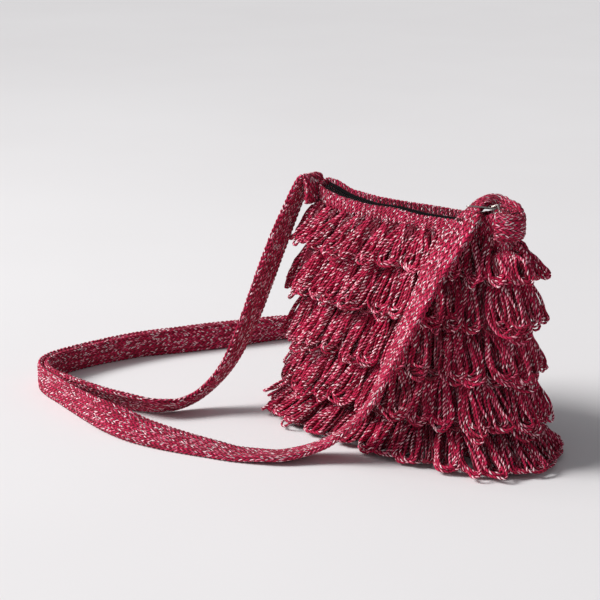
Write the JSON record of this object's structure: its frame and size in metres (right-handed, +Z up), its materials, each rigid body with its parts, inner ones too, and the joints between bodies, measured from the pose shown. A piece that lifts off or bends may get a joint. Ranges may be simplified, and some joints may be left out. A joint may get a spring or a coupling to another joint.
{
  "type": "crochet satchel",
  "caption": "Small crimson crocheted satchel with five tiers of yarn loops, a black zip and one long flat crocheted strap lying beside it.",
  "frame": {"origin": "middle of the pouch's base, on the surface the bag stands on", "axes": "+X along the mouth towards the closed end of the zip, -Y the front, +Z up"},
  "size_m": [0.4506, 0.3246, 0.2013],
  "materials": {
    "crimson_crochet": "matte",
    "crimson_loops": "matte",
    "crimson_strap": "matte",
    "black_tape": "matte",
    "black_coil": "satin",
    "zip_steel": "satin"
  },
  "bodies": {
    "root": {"pouch": "crimson_crochet", "strap": "crimson_strap", "zip_tape_front": "black_tape", "zip_tape_back": "black_tape", "zip_chain": "black_coil", "zip_slider": "zip_steel", "zip_pull": "zip_steel", "loop_tier_1": "crimson_loops", "loop_tier_2": "crimson_loops", "loop_tier_3": "crimson_loops", "loop_tier_4": "crimson_loops", "loop_tier_5": "crimson_loops"}
  },
  "joints": []
}
